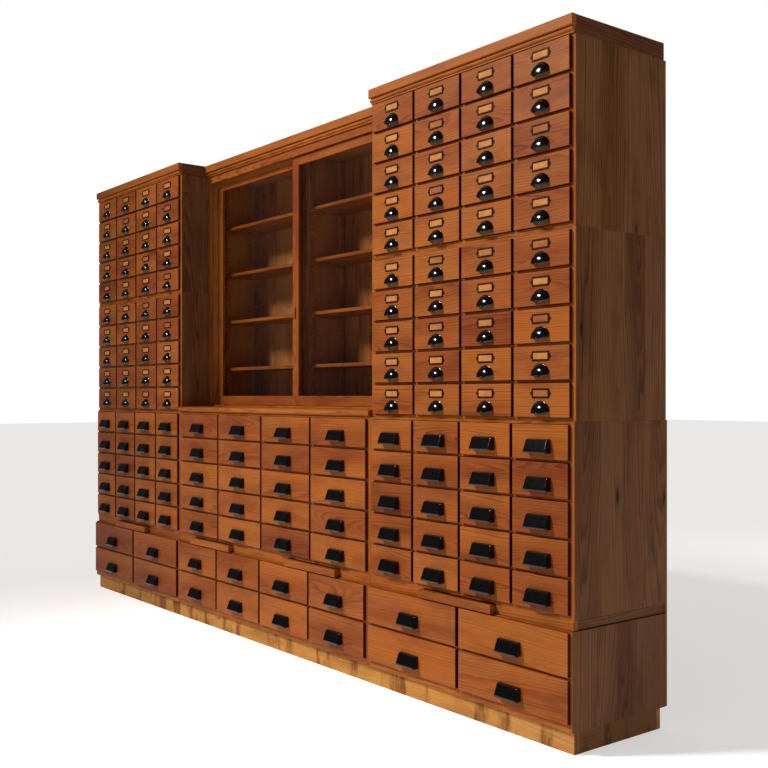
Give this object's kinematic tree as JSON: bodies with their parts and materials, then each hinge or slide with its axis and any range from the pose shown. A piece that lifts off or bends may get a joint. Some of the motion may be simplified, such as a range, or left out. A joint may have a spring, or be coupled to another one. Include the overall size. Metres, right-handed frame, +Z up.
{
  "type": "apothecary cabinet",
  "caption": "Wide pine apothecary cabinet: banks of small drawers with cup and hooded pulls, drawer towers, a glazed sliding-door display, pull-out writing slides and a plinth.",
  "frame": {"origin": "on the floor, at the middle of the overall width and depth", "axes": "+X to the viewer's right along the cabinet, +Y to the back, +Z up"},
  "size_m": [3.8236, 0.5353, 2.4],
  "materials": {
    "pine": "waxed old pitch pine, satin",
    "drawer_pine": "waxed pine front on a plain pine box",
    "display_pine": "waxed pine, satin",
    "plinth_pine": "worn pale pine",
    "back_boards": "unfinished aged pine",
    "black_enamel": "gloss black stoving enamel on pressed steel",
    "bronze": "dark bronzed brass",
    "glass": "clear float glass"
  },
  "bodies": {
    "cabinet": {"back_lower": "back_boards", "back_tower_left": "back_boards", "back_tower_right": "back_boards", "base_centre_carcass": "pine", "base_left_carcass": "pine", "base_right_carcass": "pine", "counter_board": "pine", "crown_display": "pine", "crown_left": "pine", "crown_right": "pine", "display_case": "display_pine", "display_face_frame": "pine", "display_shelf_left_1": "display_pine", "display_shelf_left_2": "display_pine", "display_shelf_left_3": "display_pine", "display_shelf_left_4": "display_pine", "display_shelf_right_1": "display_pine", "display_shelf_right_2": "display_pine", "display_shelf_right_3": "display_pine", "display_shelf_right_4": "display_pine", "mid_centre_carcass": "pine", "mid_left_carcass": "pine", "mid_right_carcass": "pine", "plinth": "plinth_pine", "tower_left_lower_carcass": "pine", "tower_left_upper_carcass": "pine", "tower_right_lower_carcass": "pine", "tower_right_upper_carcass": "pine"},
    "base_left_drawer": {"base_left_drawer": "drawer_pine", "base_left_pull": "black_enamel"},
    "base_centre_drawer": {"base_centre_drawer": "drawer_pine", "base_centre_pull": "black_enamel"},
    "base_right_drawer": {"base_right_drawer": "drawer_pine", "base_right_pull": "black_enamel"},
    "mid_left_drawer": {"mid_left_drawer": "drawer_pine", "mid_left_pull": "black_enamel"},
    "mid_centre_drawer": {"mid_centre_drawer": "drawer_pine", "mid_centre_pull": "black_enamel"},
    "mid_right_drawer": {"mid_right_drawer": "drawer_pine", "mid_right_pull": "black_enamel"},
    "tower_left_lower_drawer": {"tower_left_lower_drawer": "drawer_pine", "tower_left_lower_pull": "black_enamel", "tower_left_lower_card_frame": "bronze"},
    "tower_right_lower_drawer": {"tower_right_lower_drawer": "drawer_pine", "tower_right_lower_pull": "black_enamel", "tower_right_lower_card_frame": "bronze"},
    "tower_left_upper_drawer": {"tower_left_upper_drawer": "drawer_pine", "tower_left_upper_pull": "black_enamel", "tower_left_upper_card_frame": "bronze"},
    "tower_right_upper_drawer": {"tower_right_upper_drawer": "drawer_pine", "tower_right_upper_pull": "black_enamel", "tower_right_upper_card_frame": "bronze"},
    "writing_slide_right": {"writing_slide_right": "pine"},
    "writing_slide_centre_right": {"writing_slide_centre_right": "pine"},
    "writing_slide_centre_left": {"writing_slide_centre_left": "pine"},
    "writing_slide_left": {"writing_slide_left": "pine"},
    "display_door_right": {"display_door_right": "pine", "display_pane_right": "glass"},
    "display_door_left": {"display_door_left": "pine", "display_pane_left": "glass"}
  },
  "joints": [
    {"name": "base_left_drawer_run", "type": "slide", "parent": "cabinet", "child": "base_left_drawer", "axis": [0, -1, 0], "range_m": [0, 0.3]},
    {"name": "base_centre_drawer_run", "type": "slide", "parent": "cabinet", "child": "base_centre_drawer", "axis": [0, -1, 0], "range_m": [0, 0.3]},
    {"name": "base_right_drawer_run", "type": "slide", "parent": "cabinet", "child": "base_right_drawer", "axis": [0, -1, 0], "range_m": [0, 0.3]},
    {"name": "mid_left_drawer_run", "type": "slide", "parent": "cabinet", "child": "mid_left_drawer", "axis": [0, -1, 0], "range_m": [0, 0.3]},
    {"name": "mid_centre_drawer_run", "type": "slide", "parent": "cabinet", "child": "mid_centre_drawer", "axis": [0, -1, 0], "range_m": [0, 0.3]},
    {"name": "mid_right_drawer_run", "type": "slide", "parent": "cabinet", "child": "mid_right_drawer", "axis": [0, -1, 0], "range_m": [0, 0.3]},
    {"name": "tower_left_lower_drawer_run", "type": "slide", "parent": "cabinet", "child": "tower_left_lower_drawer", "axis": [0, -1, 0], "range_m": [0, 0.3]},
    {"name": "tower_right_lower_drawer_run", "type": "slide", "parent": "cabinet", "child": "tower_right_lower_drawer", "axis": [0, -1, 0], "range_m": [0, 0.3]},
    {"name": "tower_left_upper_drawer_run", "type": "slide", "parent": "cabinet", "child": "tower_left_upper_drawer", "axis": [0, -1, 0], "range_m": [0, 0.3]},
    {"name": "tower_right_upper_drawer_run", "type": "slide", "parent": "cabinet", "child": "tower_right_upper_drawer", "axis": [0, -1, 0], "range_m": [0, 0.3]},
    {"name": "writing_slide_right_run", "type": "slide", "parent": "cabinet", "child": "writing_slide_right", "axis": [0, -1, 0], "range_m": [0, 0.25]},
    {"name": "writing_slide_centre_right_run", "type": "slide", "parent": "cabinet", "child": "writing_slide_centre_right", "axis": [0, -1, 0], "range_m": [0, 0.25]},
    {"name": "writing_slide_centre_left_run", "type": "slide", "parent": "cabinet", "child": "writing_slide_centre_left", "axis": [0, -1, 0], "range_m": [0, 0.25]},
    {"name": "writing_slide_left_run", "type": "slide", "parent": "cabinet", "child": "writing_slide_left", "axis": [0, -1, 0], "range_m": [0, 0.25]},
    {"name": "display_door_right_slide", "type": "slide", "parent": "cabinet", "child": "display_door_right", "axis": [-1, 0, 0], "range_m": [0, 0.78]},
    {"name": "display_door_left_slide", "type": "slide", "parent": "cabinet", "child": "display_door_left", "axis": [1, 0, 0], "range_m": [0, 0.78]}
  ]
}
